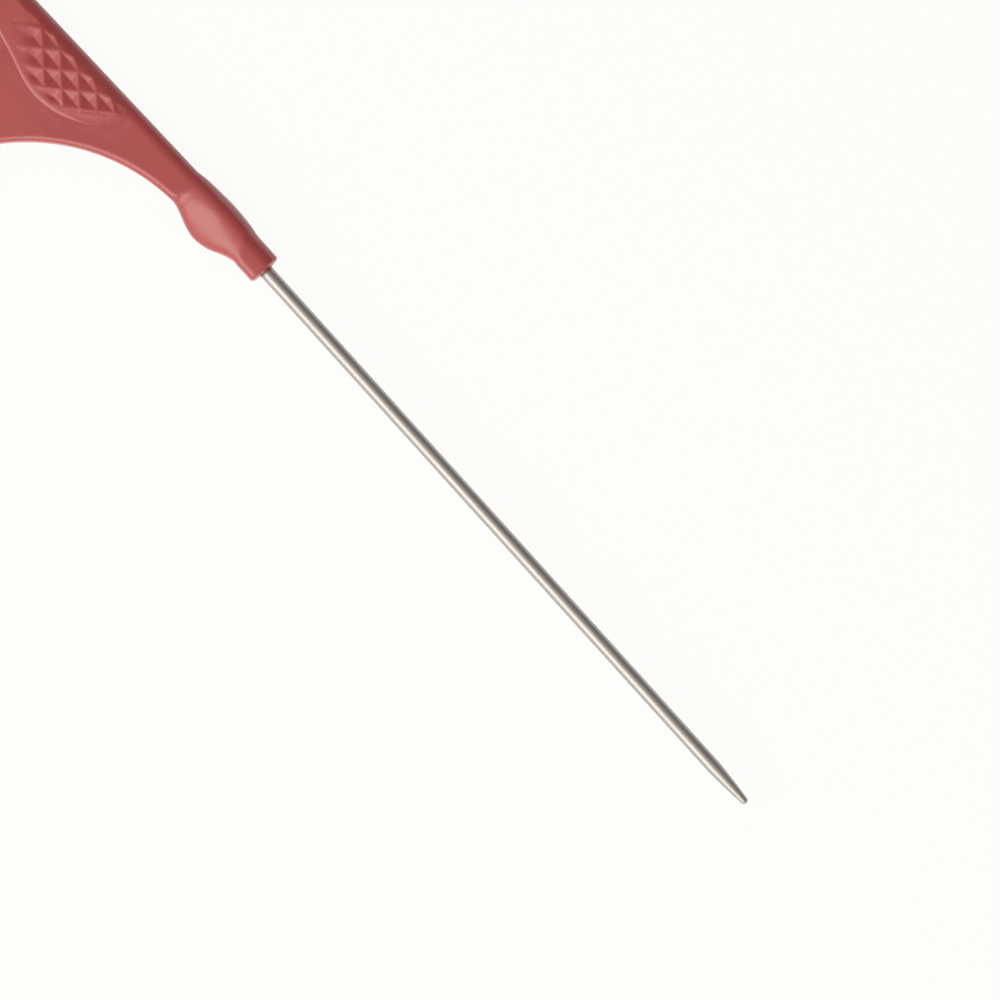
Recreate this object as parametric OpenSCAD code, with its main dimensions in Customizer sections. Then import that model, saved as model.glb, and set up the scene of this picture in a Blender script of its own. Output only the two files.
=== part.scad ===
// Tail comb with a metal pin: a moulded comb whose handle ends in a knob and
// a collar, and a straight steel pin moulded into it for parting hair.
// It lies on its side: X along the pin towards its point, Y from the teeth
// to the spine, Z up through the comb's thickness. Millimetres.

/* [Pin] */
// Diameter of the steel wire
pin_d = 2; // [1.6:0.1:2.4]
// Length of the pin outside the collar, point included
pin_out = 99; // [60:1:120]
// Length of the ground point
point_len = 6.3; // [4:0.1:10]
// Radius of the point's rounded end
point_r = 0.52; // [0.3:0.02:0.7]
// Length of wire moulded into the handle
root_len = 25; // [18:1:28]
// Depth of the ring groove that the plastic grips
groove_depth = 0.25; // [0.2:0.05:0.3]
// Length of each ring groove
groove_len = 1; // [0.8:0.1:1.4]
// Depth of each coined flat near the wire's end
coin_depth = 0.25; // [0.15:0.05:0.35]
// Length of the coined flats
coin_len = 6; // [4:0.5:8]
// Plain wire beyond the coined flats
coin_end = 3; // [2:0.5:5]
// Distance from the collar's face to the second ring groove
groove_in = 10; // [6:0.5:12]

/* [Collar and knob] */
// Plastic round the pin at the collar
collar_wall = 1.43; // [1.2:0.01:2]
// Length of the collar
collar_len = 4.3; // [3:0.1:6]
// Rounding of the collar's front edge
collar_round = 0.5; // [0.2:0.05:0.8]
// How far the knob stands out beyond the collar, all round
knob_swell = 0.4; // [0.2:0.05:0.8]
// Length of the knob, collar to neck
knob_len = 11.2; // [9:0.1:14]
// How far the knob's belly hangs below the collar
belly_drop = 1.95; // [1:0.05:2.4]
// Radius of the belly
belly_r = 2.85; // [2.6:0.05:3.1]

/* [Comb body] */
// Thickness of the handle and of the comb's back
body_t = 4; // [3.6:0.1:5]
// Lean of the spine, in degrees, to the pin
spine_lean = 1.15; // [0:0.05:2]
// Height of the spine above the pin's axis at the knob
spine_rise = 2.33; // [2:0.01:2.6]
// Width of the handle at the neck
neck_w = 5.33; // [4.8:0.01:6.4]
// Radius of the arch under the handle
arch_r = 29.1; // [24:0.1:35]
// Distance from the knob's middle back to the top of the arch
arch_back = 3.8; // [2:0.1:6]
// Width of the comb from its spine to the tips of its teeth
comb_w = 28.63; // [24:0.1:34]
// Width of the back above the teeth
back_w = 10.4; // [9:0.1:11.4]
// How far the flat sides run on below the roots of the teeth
flat_past = 0.6; // [0.2:0.1:2]
// Radius of the far corner of the back
corner_r = 6; // [3:0.5:7]
// Broken edge along the arch
edge_r = 0.5; // [0.2:0.1:0.8]

/* [Teeth] */
// Number of fine teeth
tooth_n = 44; // [20:1:60]
// Distance from one fine tooth to the next
pitch = 2.1; // [1.8:0.05:2.6]
// Width of a tooth at its root
tooth_w = 1.15; // [0.95:0.05:1.3]
// How much narrower a tooth is at its tip
tooth_taper = 0.4; // [0.2:0.05:0.5]
// Thickness of the teeth at their tips
tip_t = 1.4; // [1:0.1:2]
// Width of the far guard tooth
guard_w = 4.5; // [3:0.1:6]
// Radius of the near guard tooth's tip
guard_tip_r = 2.2; // [1.6:0.1:2.6]

/* [Grip pads] */
// Distance from the collar's face to the pad's round end
pad_from = 28.4; // [27:0.1:32]
// Length of the pad
pad_len = 38.6; // [34:0.1:44]
// Width of the pad at its widest
pad_w = 8.1; // [6:0.1:8.4]
// Length of the pad's round end, to its widest
pad_nose = 9.9; // [8:0.1:12]
// Distance from the spine down to the pad
pad_gap = 1.1; // [0.8:0.1:1.6]
// How far the pad stands proud of the handle
pad_rise = 0.3; // [0.2:0.05:0.5]
// Plain margin round the diamonds
pad_margin = 1.6; // [1:0.1:2]
// Diamond pitch along the handle
cell_x = 3.9; // [3.4:0.1:4.6]
// Diamond pitch across the handle
cell_y = 3.5; // [3:0.1:4]
// Distance from the pad's widest place to the nearest diamond, towards the pin
cell_from = 9.7; // [7:0.1:11]
// Height of the first row of diamonds over the pad's straight edge
cell_over = 0.4; // [0:0.1:1]
// Width of the ridge between two diamonds
cell_land = 0.3; // [0.2:0.05:0.5]
// Depth of the diamonds
cell_depth = 0.45; // [0.3:0.05:0.6]

/* [Hidden] */
$fn = 64;
spare = 1;
wide = 400;                       // longer than the comb in any direction
// radius of the arc that rises by rise over half its length
function arc_over(half, rise) = (half * half + rise * rise) / (2 * rise);
pin_r = pin_d / 2;
half_t = body_t / 2;
// collar and knob
collar_r = pin_r + collar_wall;
knob_r = collar_r + knob_swell;
knob_x = -collar_len - knob_len / 2;
belly_y = belly_r - belly_drop - collar_r;
// the knob's outline is one arc that swells from the collar and dies in the handle
knob_arc = arc_over(knob_len / 2, knob_swell);
knob_fade = sqrt(knob_arc * knob_arc - pow(knob_arc - knob_r + pin_r, 2));
// spine
function spine_y(x) = spine_rise + tan(spine_lean) * (x - knob_x);
plate_end = knob_x - 2;           // hidden inside the knob
flat_w = back_w + flat_past;
tip_y = spine_rise - comb_w;
root_y = spine_rise - back_w;
// arch: a circle whose top is the handle's lower edge at the neck
arch_x = knob_x - arch_back;
arch_y = spine_rise - neck_w - arch_r;
// near guard tooth: its tip circle touches the arch
draft = tooth_taper / 2;
gap = pitch - tooth_w;
guard_y = tip_y + guard_tip_r;
guard_x = arch_x - sqrt(pow(arch_r + guard_tip_r, 2) - pow(guard_y - arch_y, 2));
touch_x = arch_x + (guard_x - arch_x) * arch_r / (arch_r + guard_tip_r);
touch_y = arch_y + (guard_y - arch_y) * arch_r / (arch_r + guard_tip_r);
near_tip_x = guard_x - guard_tip_r;
near_x = near_tip_x - draft;
// far guard tooth
far_in = near_x - tooth_n * pitch - gap;
far_x = far_in - guard_w;
far_r = (guard_w - draft) / 2;
corner_x = far_x + corner_r;
corner_y = spine_y(corner_x) - corner_r / cos(spine_lean);
// grip pad
pad_x = -pad_from - pad_nose;
pad_end = -pad_from - pad_len;
function pad_top(x) = spine_y(x) - pad_gap;
pad_low = pad_top(pad_x) - pad_w;
// the row's own frame: the middle of the comb's box, on the surface it lies on
high_z = max(knob_r, belly_r, half_t + pad_rise);
shift = [-(pin_out + far_x) / 2, -(knob_r + tip_y) / 2, high_z];

// ---- shapes ----

// lays a solid that was made along Z along X instead
module along_x() { rotate([90, 0, 90]) children(); }

// the wire from its end inside the handle to past the collar's face: ring grooves and coined
// flats; where it stops at the face, its front groove runs on so that it cuts cleanly
module wire(past) {
    difference() {
        translate([-root_len, 0, 0]) rotate([0, 90, 0]) cylinder(r = pin_r, h = root_len + past);
        for (x = [0, -groove_in])
            translate([x - groove_len, 0, 0]) rotate([0, 90, 0]) difference() {
                cylinder(r = pin_r + 1, h = x + past == 0 ? groove_len + 1 : groove_len);
                translate([0, 0, -1]) cylinder(r = pin_r - groove_depth, h = groove_len + 3);
            }
        for (side = [-1, 1])
            translate([coin_end - root_len, -pin_r - 1, side > 0 ? pin_r - coin_depth : -pin_r - 1])
                cube([coin_len, pin_d + 2, coin_depth + 1]);
    }
}

// the ground point; its rounded end swells out of the cone, so the two are one solid
module point(straight) {
    rotate([0, 90, 0]) {
        translate([0, 0, straight])
            cylinder(r1 = pin_r, r2 = point_r - 0.02, h = pin_out - point_r - straight);
        translate([0, 0, pin_out - point_r]) sphere(r = point_r);
    }
}

// an arc turned about X: r at its middle, and as long as back and front say
module spindle(arc, r, back, front) {
    rotate([0, 90, 0]) rotate_extrude() intersection() {
        translate([r - arc, 0]) circle(r = arc, $fn = 256);
        translate([0, -back]) square([r + 1, back + front]);
    }
}

module knob() {
    rotate([0, 90, 0]) {
        // collar, with a rounded front edge
        rotate_extrude() {
            translate([0, -collar_len]) square([collar_r, collar_len - collar_round]);
            square_r = collar_r - collar_round;
            translate([0, -collar_len]) square([square_r, collar_len]);
            translate([square_r, -collar_round]) circle(r = collar_round);
        }
    }
    // swell of the knob, from inside the collar until it dies in the handle
    translate([knob_x, 0, 0]) spindle(knob_arc, knob_r, knob_fade, knob_len / 2);
    // belly that hangs on the teeth's side
    translate([knob_x, belly_y, 0])
        spindle(arc_over(knob_len / 2, belly_r), belly_r, knob_len / 2, knob_len / 2);
}

// outline of handle, back and the two guard teeth; along the spine and the far end it
// stands over by spare, and the section's own round edges trim it
module back_outline() {
    difference() {
        union() {
            polygon([
                [plate_end, spine_y(plate_end) + spare],
                [corner_x, spine_y(corner_x) + spare],
                [far_x - spare, corner_y],
                [far_x - spare, tip_y + far_r],
                [far_in - draft, tip_y + far_r],
                [far_in, root_y],
                [near_x, root_y],
                [near_tip_x, guard_y],
                [touch_x, touch_y],
                [plate_end, touch_y],
            ]);
            intersection() {
                translate([corner_x, corner_y]) circle(r = corner_r + 0.6);
                translate([far_x - spare, corner_y]) square([corner_r + spare, corner_r + spare]);
            }
            translate([far_x + far_r, tip_y + far_r]) circle(r = far_r);
        }
        translate([arch_x, arch_y]) circle(r = arch_r, $fn = 256);
        for (i = [0:tooth_n])
            translate([near_x - gap / 2 - i * pitch, root_y]) circle(r = gap / 2);
    }
    translate([guard_x, guard_y]) circle(r = guard_tip_r);
}

// the comb's section, drawn out along the spine: full-round spine, flat sides,
// then a taper to the tips of the teeth
module section() {
    translate([knob_x, spine_rise, 0]) rotate([0, 0, spine_lean])
        translate([-wide, 0, 0]) along_x() linear_extrude(2 * wide) {
            translate([-half_t, 0]) circle(r = half_t);
            polygon([
                [-half_t, half_t], [-flat_w, half_t], [-comb_w - 4, tip_t / 2 - 0.1],
                [-comb_w - 4, 0.1 - tip_t / 2], [-flat_w, -half_t], [-half_t, -half_t],
            ]);
        }
}

// the rounded far end
module far_round() {
    end_r = half_t + 0.4;
    translate([far_x, 0, 0]) {
        translate([end_r, wide / 2, 0]) rotate([90, 0, 0]) cylinder(r = end_r, h = wide);
        translate([end_r, -wide / 2, -end_r - 1]) cube([wide, wide, 2 * end_r + 2]);
    }
}

// broken edge of the arch, as the material that goes
module arch_edge() {
    rotate_extrude($fn = 256)
        polygon([
            [arch_r - 1, half_t - edge_r - 1], [arch_r - 1, half_t + 1],
            [arch_r + edge_r + 1, half_t + 1],
        ]);
}

module plate() {
    difference() {
        intersection() {
            translate([0, 0, -half_t - 1]) linear_extrude(body_t + 2) back_outline();
            section();
            far_round();
        }
        translate([arch_x, arch_y, 0]) for (side = [0, 1]) mirror([0, 0, side]) arch_edge();
    }
}

// leaf: round towards the pin, drawn out to a point towards the teeth, straight along the spine
module leaf(inset) {
    intersection() {
        hull() {
            translate([pad_x, pad_top(pad_x)])
                scale([pad_nose - inset, pad_w - inset]) circle(r = 1);
            translate([pad_end + inset * 2, pad_top(pad_end) - 0.4]) circle(r = 0.4, $fn = 16);
        }
        polygon([
            [0, pad_top(0)], [pad_end - 5, pad_top(pad_end - 5)],
            [pad_end - 5, pad_low - 5], [0, pad_low - 5],
        ]);
    }
}

// one sunk diamond: a pyramid that points down, its mouth at Z = 0
module diamond() {
    hx = (cell_x - cell_land) / 2;
    hy = (cell_y - cell_land) / 2;
    up = 0.2;
    k = 1 + up / cell_depth;
    polyhedron(
        points = [[0, 0, -cell_depth], [hx * k, 0, up], [0, hy * k, up], [-hx * k, 0, up], [0, -hy * k, up]],
        faces = [[1, 2, 0], [2, 3, 0], [3, 4, 0], [4, 1, 0], [4, 3, 2, 1]]);
}

module grip_pad() {
    rows = ceil(pad_w / (cell_y / 2));
    columns = ceil(pad_len / cell_x);
    difference() {
        translate([0, 0, half_t - 0.5]) linear_extrude(pad_rise + 0.5) leaf(0);
        intersection() {
            translate([0, 0, half_t - 1]) linear_extrude(pad_rise + 2) leaf(pad_margin);
            for (j = [0:rows], i = [0:columns])
                translate([
                    pad_x + cell_from - (i + (j % 2) / 2) * cell_x,
                    pad_top(pad_x) + cell_over - j * cell_y / 2,
                    half_t + pad_rise,
                ]) diamond();
        }
    }
}

// ---- the comb's pieces ----

module comb_back() {
    color([0.68, 0.32, 0.33]) translate(shift) difference() {
        union() {
            plate();
            knob();
            for (side = [0, 1]) mirror([0, 0, side]) grip_pad();
        }
        wire(0);
    }
}

module fine_teeth() {
    color([0.68, 0.32, 0.33]) translate(shift) intersection() {
        translate([0, 0, -half_t - 1]) linear_extrude(body_t + 2) for (i = [0:tooth_n - 1])
            translate([near_x - gap - tooth_w / 2 - i * pitch, 0]) {
                tip_r = tooth_w / 2 - draft;
                polygon([
                    [-tooth_w / 2, root_y], [-tip_r, tip_y + tip_r],
                    [tip_r, tip_y + tip_r], [tooth_w / 2, root_y],
                ]);
                translate([0, tip_y + tip_r]) circle(r = tip_r);
            }
        section();
    }
}

module tail_pin() {
    color([0.72, 0.71, 0.69]) translate(shift) {
        wire(pin_out - point_len);
        point(pin_out - point_len);
    }
}

comb_back();
fine_teeth();
tail_pin();
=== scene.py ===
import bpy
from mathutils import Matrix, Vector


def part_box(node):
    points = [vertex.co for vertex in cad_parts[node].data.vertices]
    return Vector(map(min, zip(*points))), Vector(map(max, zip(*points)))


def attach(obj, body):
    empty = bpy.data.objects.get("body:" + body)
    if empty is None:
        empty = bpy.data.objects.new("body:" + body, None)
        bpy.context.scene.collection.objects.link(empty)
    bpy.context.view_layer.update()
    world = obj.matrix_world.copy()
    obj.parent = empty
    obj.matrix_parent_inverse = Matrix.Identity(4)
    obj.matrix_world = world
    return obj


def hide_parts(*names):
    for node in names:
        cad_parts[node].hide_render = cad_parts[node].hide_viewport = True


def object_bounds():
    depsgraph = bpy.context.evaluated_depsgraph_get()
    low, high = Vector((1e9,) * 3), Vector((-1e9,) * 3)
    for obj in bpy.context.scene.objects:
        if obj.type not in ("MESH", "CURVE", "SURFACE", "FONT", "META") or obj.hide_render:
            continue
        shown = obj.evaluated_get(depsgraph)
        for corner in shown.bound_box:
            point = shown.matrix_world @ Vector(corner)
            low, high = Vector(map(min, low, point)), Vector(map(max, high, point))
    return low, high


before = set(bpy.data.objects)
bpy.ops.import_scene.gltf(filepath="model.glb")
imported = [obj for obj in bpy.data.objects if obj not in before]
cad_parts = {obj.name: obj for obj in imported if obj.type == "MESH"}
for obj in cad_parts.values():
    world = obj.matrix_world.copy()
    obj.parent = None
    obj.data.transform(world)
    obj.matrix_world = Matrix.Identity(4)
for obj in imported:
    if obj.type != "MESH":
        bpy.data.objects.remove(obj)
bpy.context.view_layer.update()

from collections import Counter
from math import atan2, ceil, cos, degrees, hypot, pi, radians, sin, sqrt, tan

import bmesh
import bpy
from mathutils import Vector
from mathutils.geometry import delaunay_2d_cdt


# ---------------------------------------------------------------------------
# Back, handle and guard teeth.
# The comb is one moulding of rose-red plastic: a flat back with a full-round
# spine, a handle that runs in an arch to the knob, and a guard tooth at each end
# of the row. Both faces are the same, as the mould parts at half the thickness.
# ---------------------------------------------------------------------------

MM = 0.001
pin_low, pin_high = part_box("tail_pin")
back_low, back_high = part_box("comb_back")
teeth_low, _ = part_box("fine_teeth")
# where the pin leaves the collar; every size below is in millimetres from there,
# X towards the pin's point, Y towards the spine
face = Vector((back_high.x, (pin_low.y + pin_high.y) / 2, (pin_low.z + pin_high.z) / 2))


def placed(x, y, z):
    """A place in metres in the object's frame, from millimetres from the collar's face."""
    return face + Vector((x, y, z)) * MM


half_t = 2.0            # half the thickness of back and handle
knob_x = -9.9           # middle of the knob
lean = radians(1.15)    # the spine leans to the pin
spine_rise = 2.33       # height of the spine at the knob's middle
back_w, neck_w = 10.4, 5.33     # from that height down to the teeth's roots, and to the arch
arch_r, arch_back = 29.1, 3.8   # the arch is highest this far behind the knob's middle
corner_r, guard_r = 6.0, 2.2    # the back's far corner, and the near guard tooth's tip
tooth_n, pitch, tooth_w, draft = 44, 2.1, 1.15, 0.2
gap = pitch - tooth_w
far_x = (back_low.x - face.x) / MM
tip_y = (teeth_low.y - face.y) / MM
root_y = spine_rise - back_w
arch_x, arch_y = knob_x - arch_back, spine_rise - neck_w - arch_r
guard_y = tip_y + guard_r
guard_x = arch_x - sqrt((arch_r + guard_r) ** 2 - (guard_y - arch_y) ** 2)
near_x = guard_x - guard_r - draft
far_in = near_x - tooth_n * pitch - gap
far_r = (far_in - draft - far_x) / 2
join_x = -16.5          # handle behind this, knob and collar before it
weld_up = 0.75          # the teeth are welded on this far above their roots
weld_y = root_y + gap / 2 + weld_up
spine_edge, arch_edge, guard_edge, tooth_edge = 1.95, 1.0, 0.6, 0.28    # edge radii
edge_steps = 7          # points round an edge, from its wall to the face
wall_least = 0.1        # half the height of the wall that an edge's rounding leaves at least
hold, hold_share = 0.18, 0.2    # the face is held flat beside an edge, at most this share of it
tip_half_t = 0.8        # the teeth get thinner to this half thickness, from below their roots
taper_y = root_y - 1.6
taper_soft = 1.0
# a pocket in each face, hidden under the grip pad: how far in from the pad's edge and below
# the spine it begins, its depth and the width of its wall
pocket_in, pocket_top, pocket_deep, pocket_wall = 0.42, 2.3, 0.5, 0.06
pocket_slack, edge_gap, rim_gap = 0.1, 0.15, 0.1
# between the spine and the pocket the faces dip by this, also hidden: where that begins below
# the spine, near the knob and at the far end, each with the length that it takes
dip = 0.25
dip_below, dip_near, dip_far = (0.9, 0.8), (-30.0, 1.5), (-66.0, 3.0)


def spine_y(x):
    """Height of the spine at x."""
    return spine_rise + tan(lean) * (x - knob_x)


def half_thick(y):
    """Half the thickness at a height: flat above the roots, then thinner to the tips."""
    slope = (half_t - tip_half_t) / (taper_y - tip_y)
    below = taper_y - y
    if below <= -taper_soft:
        return half_t
    if below < taper_soft:
        return half_t - slope * (below + taper_soft) ** 2 / (4 * taper_soft)
    return half_t - slope * below


def ease(t):
    """Rises smoothly from 0 to 1 as t does."""
    t = min(1.0, max(0.0, t))
    return t * t * (3 - 2 * t)


def below_spine(x, y):
    """How far a place is below the spine."""
    return (spine_y(x) - y) * cos(lean)


def skin(x, y):
    """Half the thickness at a place; it is less where the grip pads lie over the spine's edge."""
    down = below_spine(x, y)
    if down > pocket_top + pocket_slack:
        return half_thick(y)
    return half_t - dip * ease((down - dip_below[0]) / dip_below[1]) \
        * ease((dip_near[0] - x) / dip_near[1]) * ease((x - dip_far[0]) / dip_far[1])


def arc(cx, cy, r, start, end, n, e0, e1):
    """Outline points round an arc, in degrees, each with its inward normal and edge radius."""
    side = -1 if end > start else 1
    out = []
    for i in range(n + 1):
        a = radians(start + (end - start) * i / n)
        out.append((cx + r * cos(a), cy + r * sin(a), side * cos(a), side * sin(a),
                    e0 + (e1 - e0) * ease(i / n)))
    return out


def line(x0, y0, x1, y1, n, edge):
    """Outline points along a straight line, like those of an arc."""
    length = hypot(x1 - x0, y1 - y0)
    nx, ny = -(y1 - y0) / length, (x1 - x0) / length
    return [(x0 + (x1 - x0) * i / n, y0 + (y1 - y0) * i / n, nx, ny, edge) for i in range(n + 1)]


same_point = 1e-4       # outline points nearer than this are one


def chain(*parts):
    """Joins outline parts end to end; where two meet, they share one point and normal."""
    out = []
    for part in parts:
        for p in part:
            if out and hypot(p[0] - out[-1][0], p[1] - out[-1][1]) < same_point:
                q = out.pop()
                nx, ny = p[2] + q[2], p[3] + q[3]
                size = hypot(nx, ny)
                p = (q[0], q[1], nx / size, ny / size, (p[4] + q[4]) / 2)
            out.append(p)
    return out


ring_room, pocket_room = 0.45, 0.4    # grid points keep off the ring, in spreads, and the pocket


def face_net(ring, pocket, spread):
    """The triangles of a flat face inside a ring, over a grid of points spread apart, with the
    pocket's rim and floor as edges. Gives points, triangles, each point's sources and the floor."""
    floor = []
    for k in range(len(pocket)):
        (x0, y0), (x, y), (x1, y1) = pocket[k - 1], pocket[k], pocket[(k + 1) % len(pocket)]
        size = hypot(x1 - x0, y1 - y0)
        floor.append((x - (y1 - y0) / size * pocket_wall, y + (x1 - x0) / size * pocket_wall))
    xs, ys = [p[0] for p in ring], [p[1] for p in ring]
    grid = []
    for i in range(ceil((max(xs) - min(xs)) / spread) + 1):
        for j in range(ceil((max(ys) - min(ys)) / spread) + 1):
            x = min(xs) + (i + 0.5 * (j % 2)) * spread
            y = min(ys) + j * spread
            if inside(x, y, ring) and clear(x, y, ring, ring_room * spread) \
                    and clear(x, y, pocket, pocket_room):
                grid.append((x, y))
    loops = [(0, len(ring)), (len(ring), len(pocket)), (len(ring) + len(pocket), len(floor))]
    edges = [(a + i, a + (i + 1) % n) for a, n in loops for i in range(n)]
    points, faces, origin = triangles(ring + pocket + floor + grid, edges, 1e-7, ring)
    # slivers outside a straight stretch of the ring have a long edge that nothing shares
    shared = Counter(frozenset(pair) for f in faces for pair in zip(f, f[1:] + f[:1]))
    own = {i: k for k, sources in enumerate(origin) for i in sources}
    bound = {frozenset((own[i], own[(i + 1) % len(ring)])) for i in range(len(ring))}
    faces = [f for f in faces if all(shared[frozenset(pair)] > 1 or frozenset(pair) in bound
                                     for pair in zip(f, f[1:] + f[:1]))]
    return points, faces, origin, floor


def triangles(places, edges, near, ring):
    """Joins places into triangles along the edges given, and keeps those inside the ring.
    Places within near of each other become one point."""
    points, _, faces, origin, _, _ = delaunay_2d_cdt(
        [Vector(p) for p in places], edges, [], 0, near, True)
    faces = [f for f in faces if inside(*(sum(points[i][c] for i in f) / 3 for c in (0, 1)), ring)]
    return points, faces, origin


def shell(bm, chains, bridges, pocket, spread):
    """A flat moulding with the same two faces. Its chains are outline with rounded edges, its
    bridges flat points from one chain's end to the next one's start, where it stays open.
    The pocket is a ring of points inside which both faces are sunk."""
    columns = []
    for points in chains:
        rows = []
        for x, y, nx, ny, edge in points:
            rounding = min(edge, half_thick(y) - wall_least)
            middle = bm.verts.new(placed(x, y, 0))
            col = {1: [middle], -1: [middle]}
            for k in range(edge_steps):
                a = pi / 2 * k / (edge_steps - 1)
                s = rounding * (1 - cos(a))
                px, py = x + nx * s, y + ny * s
                z = skin(px, py) - rounding + rounding * sin(a)
                for side in (1, -1):
                    col[side].append(bm.verts.new(placed(px, py, side * z)))
            inset = rounding + min(hold, hold_share * edge)
            px, py = x + nx * inset, y + ny * inset
            for side in (1, -1):
                col[side].append(bm.verts.new(placed(px, py, side * skin(px, py))))
            col["flat"] = (px, py)
            rows.append(col)
        for a, b in zip(rows, rows[1:]):
            for side in (1, -1):
                for k in range(len(a[side]) - 1):
                    quad = [a[side][k], b[side][k], b[side][k + 1], a[side][k + 1]]
                    bm.faces.new(quad if side > 0 else quad[::-1])
        columns.append(rows)
    ring, ring_verts, bridge_verts = [], {1: [], -1: []}, []
    for rows, bridge in zip(columns, bridges):
        for col in rows:
            ring.append(col["flat"])
            for side in (1, -1):
                ring_verts[side].append(col[side][-1])
        made = []
        for x, y in bridge:
            ring.append((x, y))
            both = [bm.verts.new(placed(x, y, side * half_thick(y))) for side in (1, -1)]
            ring_verts[1].append(both[0])
            ring_verts[-1].append(both[1])
            made.append(both)
        bridge_verts.append(made)
    points, faces, origin, floor = face_net(ring, pocket, spread)
    for side in (1, -1):
        verts = []
        for p, sources in zip(points, origin):
            first = min(sources) if sources else len(ring)
            if first < len(ring):
                verts.append(ring_verts[side][first])
                continue
            z = skin(p.x, p.y)
            if floor and inside(p.x, p.y, floor, 1e-3):
                z = half_t - pocket_deep
            verts.append(bm.verts.new(placed(p.x, p.y, side * z)))
        for f in faces:
            corners = [verts[i] for i in f]
            bm.faces.new(corners if side > 0 else corners[::-1])
        # the pocket's rim is sharp
        vert_of = {i: verts[k] for k, sources in enumerate(origin) for i in sources}
        for k in range(len(pocket)):
            ends = [vert_of[len(ring) + (k + n) % len(pocket)] for n in (0, 1)]
            bm.edges.get(ends).smooth = False
    return columns, bridge_verts


def inside(x, y, ring, slack=0.0):
    """True inside a ring of points, or within slack of it."""
    hit = False
    for (x0, y0), (x1, y1) in zip(ring, ring[1:] + ring[:1]):
        if (y0 > y) != (y1 > y) and x < x0 + (y - y0) * (x1 - x0) / (y1 - y0):
            hit = not hit
    return hit or (slack > 0 and not clear(x, y, ring, slack))


def clear(x, y, ring, room):
    """True if no edge of the ring is nearer than room."""
    return not ring or distance(x, y, ring, True) >= room


def distance(x, y, path, closed=False):
    """How far a place is from a path of straight pieces."""
    best = float("inf")
    pairs = list(zip(path, path[1:])) + ([(path[-1], path[0])] if closed else [])
    for (x0, y0), (x1, y1) in pairs:
        dx, dy = x1 - x0, y1 - y0
        t = max(0.0, min(1.0, ((x - x0) * dx + (y - y0) * dy) / (dx * dx + dy * dy)))
        best = min(best, hypot(x - x0 - t * dx, y - y0 - t * dy))
    return best


def curve_through(points, steps):
    """A smooth curve through points, with steps pieces between each two."""
    out = []
    for i in range(len(points) - 1):
        p = [points[max(i - 1, 0)], points[i], points[i + 1], points[min(i + 2, len(points) - 1)]]
        for k in range(steps):
            t = k / steps
            w = (-t + 2 * t * t - t ** 3, 2 - 5 * t * t + 3 * t ** 3,
                 t + 4 * t * t - 3 * t ** 3, t ** 3 - t * t)
            out.append(tuple(sum(a * q[c] for a, q in zip(w, p)) / 2 for c in range(2)))
    return out + [tuple(points[-1])]


# lower edge of the grip pad, from its round end near the knob to its far point
pad_edge = curve_through([
    (-29.6, 1.0), (-28.8, 0.45), (-28.35, -0.2), (-28.35, -1.0), (-28.75, -1.9), (-29.4, -2.8),
    (-30.5, -4.1), (-32.3, -5.4), (-35.3, -6.8), (-38.7, -7.4), (-41.7, -7.1), (-45.0, -6.15),
    (-48.6, -5.25), (-54.0, -4.0), (-60.0, -2.5), (-64.0, -1.3), (-66.3, -0.3), (-67.2, 0.8)],
    steps=10)
pocket = []
for (x0, y0), (x, y), (x1, y1) in zip(pad_edge, pad_edge[1:], pad_edge[2:]):
    size = hypot(x1 - x0, y1 - y0)
    x, y = x + (y1 - y0) / size * pocket_in, y - (x1 - x0) / size * pocket_in
    if below_spine(x, y) > pocket_top + edge_gap:
        pocket.append((x, y))
x0, x1 = pocket[-1][0] + rim_gap, pocket[0][0] - rim_gap
rim_n = 24
for i in range(rim_n + 1):
    x = x0 + (x1 - x0) * i / rim_n
    pocket.append((x, spine_y(x) - pocket_top / cos(lean)))
pocket.reverse()

corner_x = far_x + corner_r
corner_y = spine_y(corner_x) - corner_r / cos(lean)
tangent = degrees(atan2(arch_y - guard_y, arch_x - guard_x))
neck_a = degrees(atan2(sqrt(arch_r ** 2 - (join_x - arch_x) ** 2), join_x - arch_x))
spine_end = (corner_x - corner_r * sin(lean), corner_y + corner_r * cos(lean))
# steps along each stretch of the outline
spine_n, corner_n, end_n, far_tip_n = 110, 14, 14, 24
side_n, root_n, near_tip_n, arch_n = 12, 6, 18, 64
back_chain = chain(
    line(join_x, spine_y(join_x), *spine_end, spine_n, spine_edge),
    arc(corner_x, corner_y, corner_r, 90 + degrees(lean), 180, corner_n, spine_edge, spine_edge),
    line(far_x, corner_y, far_x, tip_y + far_r, end_n, spine_edge),
    arc(far_x + far_r, tip_y + far_r, far_r, 180, 360, far_tip_n, spine_edge, tooth_edge),
    line(far_in - draft, tip_y + far_r, far_in, root_y, side_n, tooth_edge),
    arc(far_in + gap / 2, root_y, gap / 2, 180, 90, root_n, tooth_edge, tooth_edge))
arch_chain = chain(
    arc(near_x - gap / 2, root_y, gap / 2, 90, 0, root_n, tooth_edge, tooth_edge),
    line(near_x, root_y, guard_x - guard_r, guard_y, side_n, tooth_edge),
    arc(guard_x, guard_y, guard_r, 180, 360 + tangent, near_tip_n, tooth_edge, guard_edge),
    arc(arch_x, arch_y, arch_r, 180 + tangent, neck_a, arch_n, guard_edge, arch_edge))
# both ends at the neck meet the knob square
x, y, _, _, e = back_chain[0]
back_chain[0] = (x, y, 0.0, -1.0, e)
x, y, _, _, e = arch_chain[-1]
arch_chain[-1] = (join_x, y, 0.0, 1.0, e)

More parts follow.
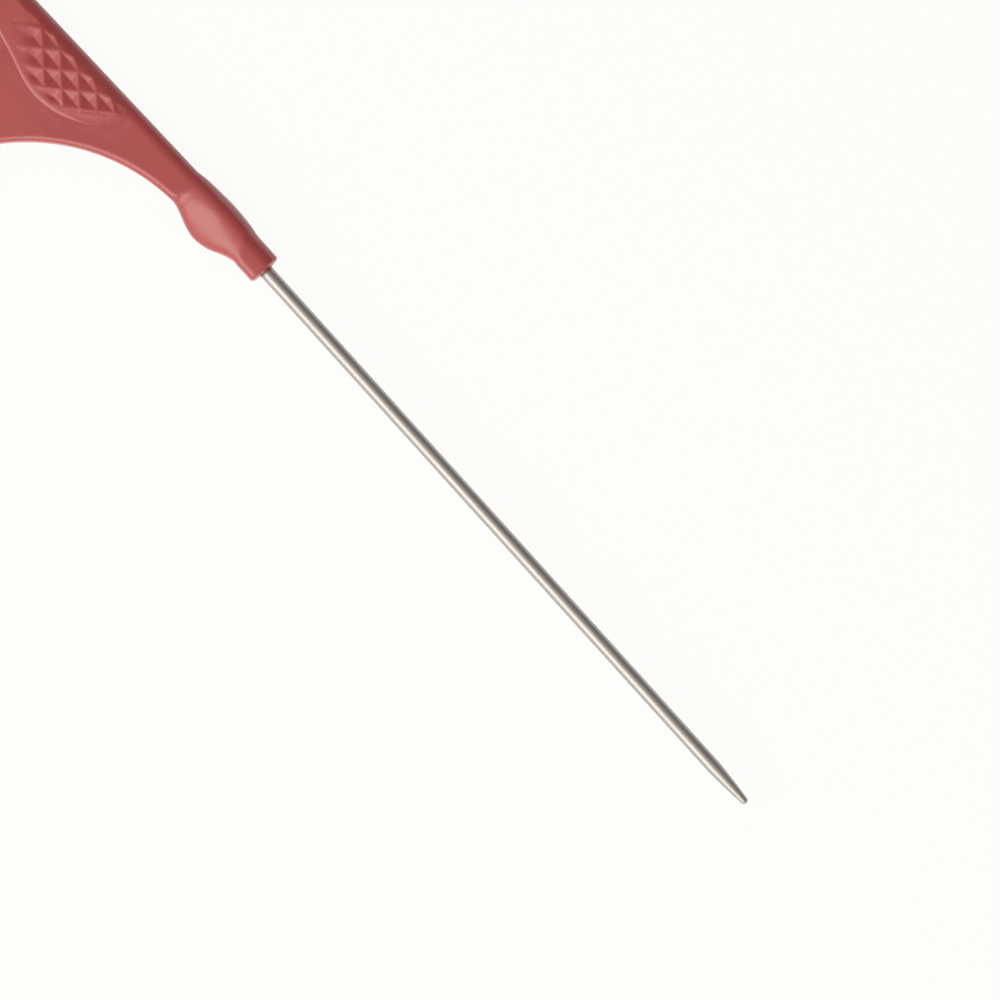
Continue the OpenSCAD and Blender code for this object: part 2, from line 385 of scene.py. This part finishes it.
# both faces stay open along the row of teeth and across the neck
weld_x0, weld_x1 = far_in + gap / 2, near_x - gap / 2
weld_n = 2 * tooth_n
teeth_bridge = [(weld_x0 + (weld_x1 - weld_x0) * i / weld_n, weld_y) for i in range(weld_n + 1)]
neck_low, neck_high = arch_chain[-1][1] + arch_edge + hold, spine_y(join_x) - spine_edge - hold
neck_n = 9
neck_bridge = [(join_x, neck_low + (neck_high - neck_low) * i / neck_n) for i in range(1, neck_n)]
moulding = bmesh.new()
columns, bridge_verts = shell(
    moulding, [back_chain, arch_chain], [teeth_bridge, neck_bridge], pocket, spread=2.0)


# ---------------------------------------------------------------------------
# Knob and collar.
# The handle's round end, moulded on the pin: a knob that hangs over on the teeth's
# side, with a long bevel there, and a short collar with a rounded front edge. The
# collar's face swells a little towards the pin.
# ---------------------------------------------------------------------------

collar_r, collar_round, bore_r = 2.43, 0.45, 1.0
lip_x, bore_x = 0.14, -0.8      # the face's rim at the pin, and the end of the pin's hole
crest_soft = 0.12               # how gently the bevel starts at the crest, in square millimetres
#        x     spine  belly   top  crest  bevel  roundness above and below
knob_stations = [
    (-17.6,   2.18, -3.17, 2.00, -2.30, 0.30, 2.6, 3.0),
    (join_x,  2.20, -3.14, 2.00, -2.30, 0.30, 2.6, 3.0),
    (-15.8,   2.30, -3.08, 2.04, -2.00, 0.32, 2.5, 2.9),
    (-15.2,   2.41, -3.10, 2.12, -0.60, 0.30, 2.4, 2.7),
    (-14.6,   2.50, -3.22, 2.22, 0.55, 0.23, 2.3, 2.5),
    (-13.4,   2.62, -3.60, 2.46, 1.12, 0.22, 2.3, 2.4),
    (-11.8,   2.72, -4.10, 2.71, 1.32, 0.30, 2.2, 2.3),
    (-9.8,    2.83, -4.38, 2.85, 1.38, 0.34, 2.2, 2.3),
    (-7.6,    2.79, -3.95, 2.80, 1.45, 0.25, 2.2, 2.4),
    (-5.7,    2.66, -3.04, 2.62, 1.25, 0.18, 2.1, 2.6),
    (-4.7,    2.49, -2.64, 2.50, 0.30, 0.18, 2.0, 3.0),
    (-3.9,    2.43, -2.43, 2.43, -0.80, 0.10, 2.0, 3.4),
    (-3.0,    2.43, -2.43, 2.43, -1.20, 0.00, 2.0, 3.9),
    (0.0,     2.43, -2.43, 2.43, -1.20, 0.00, 2.0, 3.9),
    (1.0,     2.43, -2.43, 2.43, -1.20, 0.00, 2.0, 3.9),
]


def station(x):
    """The knob's sizes at x, on smooth curves through the stations."""
    i = max(k for k in range(1, len(knob_stations) - 2) if knob_stations[k][0] <= x or k == 1)
    p0, p1, p2, p3 = knob_stations[i - 1:i + 3]
    t = (x - p1[0]) / (p2[0] - p1[0])
    out = []
    for c in range(1, len(p1)):
        m1 = (p2[c] - p0[c]) / (p2[0] - p0[0]) * (p2[0] - p1[0])
        m2 = (p3[c] - p1[c]) / (p3[0] - p1[0]) * (p2[0] - p1[0])
        out.append((2 * t ** 3 - 3 * t * t + 1) * p1[c] + (t ** 3 - 2 * t * t + t) * m1
                   + (3 * t * t - 2 * t ** 3) * p2[c] + (t ** 3 - t * t) * m2)
    return out


def soft_min(a, b, soft):
    """The smaller of two values, rounded where they are nearer to each other than soft."""
    h = max(soft - abs(a - b), 0.0) / soft
    return min(a, b) - h * h * soft / 4


def knob_point(x, t):
    """A point of the knob's section: t runs from 0 at the spine to 1 at the belly."""
    up, low, top, crest, bevel, n_up, n_low = station(x)
    u = cos(pi * t)
    n = n_up if u > 0 else n_low
    y = (up + low) / 2 + u * (up - low) / 2
    fall = crest - y
    roof = top - bevel * (fall + sqrt(fall * fall + crest_soft)) / 2
    return y, roof * max(0.0, 1 - abs(u) ** n) ** (1 / n)


# the neck's own section, from the spine over the face to the arch
neck = [(v, columns[0][0][-1][i]) for i, v in enumerate(columns[0][0][1])]
neck += [tuple(pair) for pair in reversed(bridge_verts[1])]
neck += [(v, columns[1][-1][-1][i]) for i, v in reversed(list(enumerate(columns[1][-1][1])))]
base = [((v.co.y - face.y) / MM, (v.co.z - face.z) / MM) for v, _ in neck]
runs = [0.0]
for (y0, z0), (y1, z1) in zip(base, base[1:]):
    runs.append(runs[-1] + hypot(y1 - y0, z1 - z0))
shares = [r / runs[-1] for r in runs]

# the sections from the neck to the collar's face and into the pin's hole, each with its x,
# how far it has shrunk towards the axis, and how nearly it is a true circle
rings = []
knob_n, collar_n = 54, 6
for i in range(1, knob_n + 1):
    rings.append((join_x + (-collar_round - join_x) * i / knob_n, 0.0, 0.0))
for i in range(1, collar_n + 1):
    a = pi / 2 * i / collar_n
    rings.append((collar_round * (sin(a) - 1), collar_round * (1 - cos(a)), 0.0))
rings += [(0.06, 0.75, 0.6), (0.12, 1.05, 0.9), (0.16, collar_r - bore_r - 0.06, 1.0),
          (lip_x, collar_r - bore_r, 1.0), (bore_x, collar_r - bore_r, 1.0)]
blend = 2.0                     # the neck's section turns into the knob's over this length
last = neck
for x, shrink, roundness in rings:
    sec = []
    w = ease((x - join_x) / blend)
    up, low, top = station(x)[:3]
    outline = [knob_point(x, t) for t in shares]
    grow = top / max(z for _, z in outline)
    for (y0, z0), (y, z), t in zip(base, outline, shares):
        z *= grow
        stretch = (up - low) / (base[0][0] - base[-1][0])
        y = (1 - w) * (low + (y0 - base[-1][0]) * stretch) + w * y
        z = (1 - w) * z0 + w * z
        if shrink:
            size = collar_r - shrink
            y, z = y * size / collar_r, z * size / collar_r
            y = (1 - roundness) * y + roundness * size * cos(pi * t)
            z = (1 - roundness) * z + roundness * size * sin(pi * t)
        if t in (0.0, 1.0):
            v = moulding.verts.new(placed(x, y, 0))
            sec.append((v, v))
        else:
            sec.append((moulding.verts.new(placed(x, y, z)), moulding.verts.new(placed(x, y, -z))))
    for a, b, c, d in zip(last, last[1:], sec, sec[1:]):
        moulding.faces.new((a[0], c[0], d[0], b[0]))
        moulding.faces.new((a[1], b[1], d[1], c[1]))
        if x == lip_x:
            for side in (0, 1):
                moulding.edges.get((c[side], d[side])).smooth = False
    last = sec
cap = moulding.verts.new(placed(bore_x, 0, 0))
for a, b in zip(last, last[1:]):
    moulding.faces.new((a[0], cap, b[0]))
    moulding.faces.new((a[1], b[1], cap))


# ---------------------------------------------------------------------------
# Fine teeth.
# Forty-four teeth of the same moulding, one pitch apart, each rounded at its edges
# and thinner towards its tip, with a round root between two teeth.
# ---------------------------------------------------------------------------

tile = bmesh.new()
first_x = near_x - gap - tooth_w / 2
tip_r = tooth_w / 2 - draft
left, right = first_x - pitch / 2, first_x + pitch / 2
tip_n, flank_n = 12, 4
tooth_chain = chain(
    arc(left, root_y, gap / 2, 90, 0, root_n, tooth_edge, tooth_edge),
    line(first_x - tooth_w / 2, root_y, first_x - tip_r, tip_y + tip_r, flank_n, tooth_edge),
    arc(first_x, tip_y + tip_r, tip_r, 180, 360, tip_n, tooth_edge, tooth_edge),
    line(first_x + tip_r, tip_y + tip_r, first_x + tooth_w / 2, root_y, flank_n, tooth_edge),
    arc(right, root_y, gap / 2, 180, 90, root_n, tooth_edge, tooth_edge))
shell(tile, [tooth_chain], [[(right, weld_y), (first_x, weld_y), (left, weld_y)]], [], spread=9.0)
tile_mesh = bpy.data.meshes.new("tooth")
tile.to_mesh(tile_mesh)
tile.free()


def linear(code):
    """An sRGB hex colour as linear red, green and blue, with alpha."""
    parts = [int(code[i:i + 2], 16) / 255 for i in (1, 3, 5)]
    return [p / 12.92 if p <= 0.04045 else ((p + 0.055) / 1.055) ** 2.4 for p in parts] + [1.0]


def add(tree, kind, values=None, links=None, **settings):
    """Adds a node, and sets its settings, its inputs' values and its inputs' links."""
    node = tree.nodes.new(kind)
    for name, value in settings.items():
        setattr(node, name, value)
    for name, value in (values or {}).items():
        node.inputs[name].default_value = value
    for name, socket in (links or {}).items():
        tree.links.new(socket, node.inputs[name])
    return node


def new_material(name):
    """A material with no nodes yet, and its node tree."""
    made = bpy.data.materials.new(name)
    made.use_nodes = True
    made.node_tree.nodes.clear()
    return made, made.node_tree


# Injection-moulded ABS with a satin mould finish. The eye sees an even rose red with a broad soft
# shine, slight clouding and faint rub marks along the comb. Its convex edges are painted paler, a
# painted highlight broken up by the rub marks. The mould's grain is finer than a tenth of a
# millimetre, and is drawn coarser so that it shows.
cloud_mm, grain_mm, rub_mm, rub_narrow = 9, 0.22, 6, 7.0
plastic, tree = new_material("moulded_abs_satin")
where = add(tree, "ShaderNodeTexCoord").outputs["Object"]
cloud = add(tree, "ShaderNodeTexNoise", {"Scale": 1 / (cloud_mm * MM), "Detail": 3.0},
            {"Vector": where})
grain = add(tree, "ShaderNodeTexNoise", {"Scale": 1 / (grain_mm * MM), "Detail": 2.0},
            {"Vector": where})
rub_map = add(tree, "ShaderNodeMapping", {"Scale": (1.0, rub_narrow, rub_narrow)},
              {"Vector": where})
rub = add(tree, "ShaderNodeTexNoise", {"Scale": 1 / (rub_mm * MM), "Detail": 4.0},
          {"Vector": rub_map.outputs[0]})
tone = add(tree, "ShaderNodeMix", data_type="RGBA")
tone.inputs["A"].default_value = linear("#a83f3c")
tone.inputs["B"].default_value = linear("#b14542")
tree.links.new(cloud.outputs["Fac"], tone.inputs["Factor"])
edge = add(tree, "ShaderNodeNewGeometry").outputs["Pointiness"]
# painted highlight: the convex edges, found by pointiness, are mixed towards a pale pink, broken up
# by the rub marks
painted_highlight_mask = add(tree, "ShaderNodeMapRange", {"From Min": 0.53, "From Max": 0.62, "To Max": 0.3},
           {"Value": edge})
painted_edge_highlight = add(tree, "ShaderNodeMath", links={0: painted_highlight_mask.outputs[0], 1: rub.outputs["Fac"]},
             operation="MULTIPLY")
colour = add(tree, "ShaderNodeMix", data_type="RGBA")
tree.links.new(painted_edge_highlight.outputs[0], colour.inputs["Factor"])
tree.links.new(tone.outputs["Result"], colour.inputs["A"])
# the pale pink of the painted edge highlight
colour.inputs["B"].default_value = linear("#cf8480")
rough = add(tree, "ShaderNodeMapRange", {"To Min": 0.22, "To Max": 0.31},
            {"Value": rub.outputs["Fac"]})
bump = add(tree, "ShaderNodeBump", {"Strength": 0.12, "Distance": 0.02 * MM},
           {"Height": grain.outputs["Fac"]})
surface = add(tree, "ShaderNodeBsdfPrincipled", {"IOR": 1.54, "Specular IOR Level": 0.72},
              {"Base Color": colour.outputs["Result"], "Roughness": rough.outputs[0],
               "Normal": bump.outputs[0]})
add(tree, "ShaderNodeOutputMaterial", links={"Surface": surface.outputs[0]})

# the row: one tooth set down again a pitch further back, as many times as there are teeth
row = bpy.data.objects.new("tooth_row", tile_mesh)
bpy.context.scene.collection.objects.link(row)
repeat = bpy.data.node_groups.new("row_of_teeth", "GeometryNodeTree")
repeat.interface.new_socket("Tooth", in_out="INPUT", socket_type="NodeSocketGeometry")
count_in = repeat.interface.new_socket("Teeth", in_out="INPUT", socket_type="NodeSocketInt")
pitch_in = repeat.interface.new_socket("Pitch", in_out="INPUT", socket_type="NodeSocketFloat")
finish_in = repeat.interface.new_socket("Finish", in_out="INPUT", socket_type="NodeSocketMaterial")
repeat.interface.new_socket("Row", in_out="OUTPUT", socket_type="NodeSocketGeometry")
given = add(repeat, "NodeGroupInput")
back = add(repeat, "ShaderNodeMath", {1: -1.0}, {0: given.outputs["Pitch"]}, operation="MULTIPLY")
step = add(repeat, "ShaderNodeCombineXYZ", links={"X": back.outputs[0]})
places = add(repeat, "GeometryNodeMeshLine", links={
    "Count": given.outputs["Teeth"], "Offset": step.outputs[0]})
teeth = add(repeat, "GeometryNodeInstanceOnPoints", links={
    "Points": places.outputs[0], "Instance": given.outputs["Tooth"]})
real = add(repeat, "GeometryNodeRealizeInstances", links={"Geometry": teeth.outputs[0]})
finished = add(repeat, "GeometryNodeSetMaterial", links={
    "Geometry": real.outputs[0], "Material": given.outputs["Finish"]})
add(repeat, "NodeGroupOutput", links={"Row": finished.outputs[0]})
modifier = row.modifiers.new("row", "NODES")
modifier.node_group = repeat
modifier[count_in.identifier] = tooth_n
modifier[pitch_in.identifier] = pitch * MM
modifier[finish_in.identifier] = plastic
bpy.context.view_layer.update()
row_mesh = bpy.data.meshes.new_from_object(
    row.evaluated_get(bpy.context.evaluated_depsgraph_get()))
bpy.data.objects.remove(row)

weld_within = 0.004
moulding.from_mesh(row_mesh)
bmesh.ops.remove_doubles(moulding, verts=moulding.verts, dist=weld_within * MM)
bmesh.ops.recalc_face_normals(moulding, faces=moulding.faces)


def piece(name, bm, material, slot, *nodes):
    """Makes a mesh object of a finished bmesh and ties it to the frame."""
    mesh = bpy.data.meshes.new(name)
    bm.to_mesh(mesh)
    loose = sum(1 for e in bm.edges if not e.is_manifold)
    if loose:
        print(name, "has", loose, "open edges")
    bm.free()
    for polygon in mesh.polygons:
        polygon.use_smooth = True
    mesh.materials.clear()
    mesh.materials.append(material)
    made = bpy.data.objects.new(name, mesh)
    bpy.context.scene.collection.objects.link(made)
    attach(made, "root")
    if nodes:
        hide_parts(*nodes)


piece("comb_moulding", moulding, plastic, "red_plastic", "comb_back", "fine_teeth")


# ---------------------------------------------------------------------------
# Grip pads.
# A raised leaf on each face of the handle, moulded with it, for the thumb and the
# finger. It has a narrow bevelled edge and rows of diamonds sunk into it, which run
# out where the spine rounds over.
# ---------------------------------------------------------------------------

# from one diamond to the next in its row, and to the next row, along the spine and across
step_on, step_down = (1.815, 1.545), (1.99, -1.694)
widening = 0.018                # the rows lie wider apart towards the far end
diamond_at = (-35.40, -0.83)    # middle of the first diamond
fine = 16                       # mesh steps across one diamond
open_end = 0.35                 # the last diamond of a row is drawn out by this, and open
to_end = 3                      # columns from the first diamond to its row's open end
diamond_depth, ridge_round = 0.48, 0.08
# each change below starts at its from and takes its over to be complete
far_rows = (0.27, -2.66, 0.34), (0.12, -3.5, 0.5)   # the far rows are shallower: by, from, over
end_fade, end_from, end_over = 0.6, 0.15, 0.8       # the open ends fade by this share
rows_from, rows_over = 1.5, 0.25                    # no diamonds past this row
rim_from, rim_over = 0.5, 1.1                       # and none beside the pad's edge
pad_top, pad_step, bevel_slope, bevel_soft = 0.40, 0.14, 0.38, 0.06
rise_from, rise_over = 0.1, 1.9                     # from the step up to the full height
# the step is lower by this share at the pad's round end
round_share, round_from, round_over = 0.8, -35.0, 4.5
# the rise is lower by this share towards the teeth, against this direction from a point
run_share, run_from, run_over = 0.7, 0.9, 5.8
run_at, run_way = (-46.3, -0.5), (0.671, 0.742)
# over the spine's edge the pad follows its round, higher by lift, and at first lower by tuck
lap, lift, lift_from, lift_over = 1.2, 0.42, 0.5, 2.2
tuck, tuck_from, tuck_over = 0.08, 0.4, 0.5
ring_steps = (-0.15, 0.0, 0.1, 0.2, 0.26, 0.32, 0.4, 0.52, 0.66)    # mesh lines along the edge
pad_start, start_gap = 0.35, 0.05   # the pad begins this far below the spine
pad_floor, pad_least = 1.3, 0.2     # its hidden underside, and its least thickness


def diamond_place(u, v):
    """The place u diamonds along the row and v rows down from the first diamond."""
    w = v - widening * v * v
    a, b = step_on[0] * u + step_down[0] * w, step_on[1] * u + step_down[1] * w
    return (diamond_at[0] + a * cos(lean) - b * sin(lean),
            diamond_at[1] + a * sin(lean) + b * cos(lean))


def diamond_number(x, y):
    """The reverse of diamond_place."""
    x, y = x - diamond_at[0], y - diamond_at[1]
    a, b = x * cos(lean) + y * sin(lean), y * cos(lean) - x * sin(lean)
    size = step_on[0] * step_down[1] - step_on[1] * step_down[0]
    w = (b * step_on[0] - a * step_on[1]) / size
    return (a * step_down[1] - b * step_down[0]) / size, \
        (1 - sqrt(max(0.0, 1 - 4 * widening * w))) / (2 * widening)


def margin(x, y):
    """Distance in from the pad's contour."""
    away = distance(x, y, pad_edge)
    return away if inside(x, y, leaf) else -away


def run_out(x, y):
    """0 on the pad's full height, rising to 1 where it has sunk away towards the teeth."""
    along = run_from - run_way[0] * (x - run_at[0]) - run_way[1] * (y - run_at[1])
    return ease(along / run_over)


def sunk(x, y):
    """How deep a diamond is sunk at a place: only a small pit in the rows at the far end."""
    u, v = diamond_number(x, y)
    row = round(v)
    last = row - to_end if row > 0 else min(-to_end, row)
    column = max(last, round(u))
    aside = u - column if u > last else open_end * (u - last)
    m = min(1.0, 2 * max(abs(aside), abs(v - row)))
    deep = diamond_depth * (hypot(1 - m, ridge_round) - ridge_round)
    for less, start, over in far_rows:
        deep -= less * ease((start - v) / over)
    deep = max(0.0, deep)
    deep *= (1 - end_fade * ease((last + end_from - u) / end_over)) \
        * (1 - ease((v - rows_from) / rows_over))
    return deep * ease((margin(x, y) - rim_from) / rim_over)


def pad_height(x, y):
    """Height of the pad's surface over the middle plane."""
    down = below_spine(x, y)
    away = margin(x, y)
    # at its round end the pad rises in one slope, elsewhere over a small bevelled step
    step = pad_step * (1 - round_share * ease((x - round_from) / round_over))
    rise = (pad_top - step) * ease((away - rise_from) / rise_over) \
        * (1 - run_share * run_out(x, y))
    dome = half_t + soft_min(bevel_slope * away, step + rise, bevel_soft)
    z = dome - sunk(x, y)
    if down < spine_edge + lap:
        q = min(1.0, max(0.0, 1 - down / spine_edge))
        over = half_t - spine_edge + spine_edge * sqrt(max(0.0, 1 - q * q))
        over += lift * ease((down - lift_from) / lift_over) \
            - tuck * (1 - ease((down - tuck_from) / tuck_over))
        z = min(z, over)
    return z


# the leaf's contour, closed above the spine
above = 4.0
leaf = pad_edge + [(pad_edge[-1][0], above), (pad_edge[0][0], above)]
contours = []
for away in ring_steps:
    ring = []
    for k, (x, y) in enumerate(pad_edge):
        (x0, y0), (x1, y1) = pad_edge[max(k - 1, 0)], pad_edge[min(k + 1, len(pad_edge) - 1)]
        size = hypot(x1 - x0, y1 - y0)
        x, y = x + (y1 - y0) / size * away, y - (x1 - x0) / size * away
        if below_spine(x, y) > pad_start + start_gap:
            ring.append((x, y))
    contours.append(ring)
border = contours.pop(0)
x0, x1 = border[-1][0], border[0][0]
top_step = 0.4
top_n = ceil((x1 - x0) / top_step)
for i in range(top_n + 1):
    x = x0 + (x1 - x0) * i / top_n
    border.append((x, spine_y(x) - pad_start))
places, edges = list(border), [(i, (i + 1) % len(border)) for i in range(len(border))]
for ring in contours:
    edges += [(len(places) + i, len(places) + i + 1) for i in range(len(ring) - 1)]
    places += ring
# the mesh inside, in line with the diamonds, from the first to the last column and row
columns_run, rows_run = (-12, 4), (-9, 5)
from_top, from_rings, lowest_row = 0.12, 0.1, 10
bulge = 2                       # the round end reaches less than this past the edge's first point
grid = {}
for i in range(columns_run[0] * fine, columns_run[1] * fine):
    for j in range(rows_run[0] * fine, rows_run[1] * fine):
        x, y = diamond_place(i / fine, j / fine)
        if pad_edge[-1][0] < x < pad_edge[0][0] + bulge \
                and pad_start + from_top < below_spine(x, y) < lowest_row \
                and inside(x, y, leaf) \
                and distance(x, y, pad_edge) > ring_steps[-1] + from_rings:
            grid[i, j] = len(places)
            places.append((x, y))
for (i, j), first in grid.items():
    # the creases of a diamond run along the mesh's diagonals
    for step, phase in ((1, i - j), (-1, i + j)):
        if phase % fine == 0 and (i + 1, j + step) in grid:
            edges.append((first, grid[i + 1, j + step]))
spots, pad_faces, _ = triangles(places, edges, 1e-6, border)
heights = [pad_height(p.x, p.y) for p in spots]

for side, name in ((1, "grip_pad_front"), (-1, "grip_pad_back")):
    bm = bmesh.new()
    tops = [bm.verts.new(placed(p.x, p.y, side * z)) for p, z in zip(spots, heights)]
    bottoms = [bm.verts.new(placed(p.x, p.y, side * min(pad_floor, z - pad_least)))
               for p, z in zip(spots, heights)]
    for f in pad_faces:
        bm.faces.new([tops[i] for i in f])
        bm.faces.new([bottoms[i] for i in reversed(f)])
    under = dict(zip(tops, bottoms))
    for e in [e for e in bm.edges if e.is_boundary and e.verts[0] in under]:
        a, b = e.verts
        bm.faces.new((a, b, under[b], under[a]))
    bmesh.ops.delete(bm, geom=[v for v in bm.verts if not v.link_faces], context="VERTS")
    bmesh.ops.recalc_face_normals(bm, faces=bm.faces)
    piece(name, bm, plastic, "red_plastic")


# ---------------------------------------------------------------------------
# Pin.
# Straight stainless wire, centreless ground, its end ground to a slim blunt point
# that is safe on the scalp. The plastic is moulded on to its hidden root.
# ---------------------------------------------------------------------------

pin_r = 1.0
pin_out = (pin_high.x - face.x) / MM
pin_start = -0.75       # the part in the collar's hole
point_len, point_r = 6.3, 0.52
shoulder = 0.5          # where straight wire turns into point it is rounded over this length,
dulled = (0.004, 0.02)  # and thinner by this half way and at the end
full = 0.035            # the grinding leaves the cone slightly full
around, wire_n, cone_n, ball_n = 72, 60, 14, 8
straight = pin_out - point_len
ball_x = pin_out - point_r
slope = atan2(pin_r - point_r, ball_x - straight)
profile = [(pin_start, 0.0), (pin_start, pin_r)]
for i in range(1, wire_n + 1):
    profile.append((pin_start + (straight - shoulder - pin_start) * i / wire_n, pin_r))
profile += [(straight - shoulder / 2, pin_r - dulled[0]), (straight, pin_r - dulled[1])]
for i in range(1, cone_n + 1):
    t = i / cone_n
    r = pin_r - dulled[1] + (point_r * cos(slope) - pin_r + dulled[1]) * t
    r += full * sin(pi * t)
    profile.append((straight + (ball_x + point_r * sin(slope) - straight) * t, r))
for i in range(1, ball_n + 1):
    a = slope + (pi / 2 - slope) * i / ball_n
    profile.append((ball_x + point_r * sin(a), point_r * cos(a) if i < ball_n else 0.0))
bm = bmesh.new()
last = None
for x, r in profile:
    if r == 0.0:
        ring = [bm.verts.new(placed(x, 0, 0))]
    else:
        ring = [bm.verts.new(placed(x, r * cos(2 * pi * k / around), r * sin(2 * pi * k / around)))
                for k in range(around)]
    if last:
        for k in range(around):
            n = (k + 1) % around
            if len(last) == 1:
                bm.faces.new((last[0], ring[k], ring[n]))
            elif len(ring) == 1:
                bm.faces.new((last[k], ring[0], last[n]))
            else:
                bm.faces.new((last[k], ring[k], ring[n], last[n]))
    last = ring
bmesh.ops.recalc_face_normals(bm, faces=bm.faces)

# Stainless steel wire, ground and brushed. The eye sees a satin grey metal with fine lines
# along its length, a tenth of a millimetre wide, and a few duller patches.
line_mm, line_narrow, patch_mm = 6, 60.0, 5
steel, tree = new_material("ground_stainless_wire")
where = add(tree, "ShaderNodeTexCoord").outputs["Object"]
drawn = add(tree, "ShaderNodeMapping", {"Scale": (1.0, line_narrow, line_narrow)},
            {"Vector": where})
lines = add(tree, "ShaderNodeTexNoise", {"Scale": 1 / (line_mm * MM), "Detail": 3.0},
            {"Vector": drawn.outputs[0]})
patches = add(tree, "ShaderNodeTexNoise", {"Scale": 1 / (patch_mm * MM), "Detail": 2.0},
              {"Vector": where})
rough = add(tree, "ShaderNodeMapRange", {"To Min": 0.36, "To Max": 0.47},
            {"Value": patches.outputs["Fac"]})
bump = add(tree, "ShaderNodeBump", {"Strength": 0.10, "Distance": 0.01 * MM},
           {"Height": lines.outputs["Fac"]})
tone = add(tree, "ShaderNodeMix", data_type="RGBA")
tone.inputs["A"].default_value = linear("#aea8a2")
tone.inputs["B"].default_value = linear("#bcb7b1")
tree.links.new(lines.outputs["Fac"], tone.inputs["Factor"])
surface = add(tree, "ShaderNodeBsdfPrincipled", {"Metallic": 1.0},
              {"Base Color": tone.outputs["Result"], "Roughness": rough.outputs[0],
               "Normal": bump.outputs[0]})
add(tree, "ShaderNodeOutputMaterial", links={"Surface": surface.outputs[0]})
piece("steel_pin", bm, steel, "steel_wire", "tail_pin")


# ---------------------------------------------------------------------------
# Floor, light and camera.
# White paper under the comb, a large soft light on the teeth's side, a dim room on
# the other, and a camera straight above.
# ---------------------------------------------------------------------------

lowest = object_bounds()[0].z
floor_reach, floor_gap = 3.0, 0.00002       # metres
floor_z = min(0.0, lowest) - floor_gap
bm = bmesh.new()
bm.faces.new([bm.verts.new((sx * floor_reach, sy * floor_reach, floor_z))
              for sx, sy in ((-1, -1), (1, -1), (1, 1), (-1, 1))])
mesh = bpy.data.meshes.new("paper_floor")
bm.to_mesh(mesh)
bm.free()
floor = bpy.data.objects.new("paper_floor", mesh)
bpy.context.scene.collection.objects.link(floor)
paper, tree = new_material("white_paper")
matt = add(tree, "ShaderNodeBsdfDiffuse", {"Color": linear("#f4f4f2")})
glow = add(tree, "ShaderNodeEmission", {"Color": linear("#fefefc"), "Strength": 1.0})
path = add(tree, "ShaderNodeLightPath")
seen = add(tree, "ShaderNodeMath", links={0: path.outputs["Is Camera Ray"],
                                          1: path.outputs["Is Glossy Ray"]}, operation="MAXIMUM")
seen = add(tree, "ShaderNodeMath", links={0: seen.outputs[0],
                                          1: path.outputs["Is Transmission Ray"]},
           operation="MAXIMUM")
white_share = 0.955         # the rest shows the comb's shadow
share = add(tree, "ShaderNodeMath", {1: white_share}, {0: seen.outputs[0]},
            operation="MULTIPLY")
both = add(tree, "ShaderNodeMixShader", links={0: share.outputs[0], 1: matt.outputs[0],
                                               2: glow.outputs[0]})
add(tree, "ShaderNodeOutputMaterial", links={"Surface": both.outputs[0]})
mesh.materials.append(paper)

world = bpy.data.worlds.new("studio")
bpy.context.scene.world = world
world.use_nodes = True
tree = world.node_tree
tree.nodes.clear()
way = add(tree, "ShaderNodeTexCoord").outputs["Generated"]
split = add(tree, "ShaderNodeSeparateXYZ", links={0: way})
ramp = add(tree, "ShaderNodeMapRange", {"From Min": -0.75, "From Max": 0.75, "To Min": 1.12,
                                        "To Max": 0.26}, {"Value": split.outputs["Y"]},
           interpolation_type="SMOOTHSTEP")
dim = add(tree, "ShaderNodeBackground", {"Color": (1.0, 0.985, 0.97, 1.0)},
          {"Strength": ramp.outputs[0]})
white = add(tree, "ShaderNodeBackground", {"Color": linear("#fefefc"), "Strength": 1.0})
path = add(tree, "ShaderNodeLightPath")
both = add(tree, "ShaderNodeMixShader", links={0: path.outputs["Is Camera Ray"],
                                               1: dim.outputs[0], 2: white.outputs[0]})
add(tree, "ShaderNodeOutputWorld", links={"Surface": both.outputs[0]})

middle = placed(45.2, 2.8, 0)       # the camera looks here
lamp_data = bpy.data.lights.new("soft_window", "AREA")
lamp_data.shape = "RECTANGLE"
lamp_data.size, lamp_data.size_y = 0.9, 0.5
lamp_data.energy = 2.7
lamp_data.color = (1.0, 0.96, 0.91)
lamp = bpy.data.objects.new("soft_window", lamp_data)
lamp_up, lamp_reach, lamp_aside = radians(42), 0.75, -0.02
lamp.location = middle + Vector((lamp_aside, -cos(lamp_up) * lamp_reach, sin(lamp_up) * lamp_reach))
lamp.rotation_euler = (middle - lamp.location).to_track_quat("-Z", "Y").to_euler()
bpy.context.scene.collection.objects.link(lamp)

camera_data = bpy.data.cameras.new("camera")
camera = bpy.data.objects.new("camera", camera_data)
camera_data.lens = 150
view_width, view_turn = 0.13793, 47.907     # metres across, and degrees from the comb's length
height = view_width * camera_data.lens / camera_data.sensor_width
camera.location = middle + Vector((0, 0, height))
camera.rotation_euler = (0, 0, radians(view_turn))
camera_data.clip_start, camera_data.clip_end = 0.01, 20
bpy.context.scene.collection.objects.link(camera)
bpy.context.scene.camera = camera
bpy.context.scene.view_settings.view_transform = "Standard"
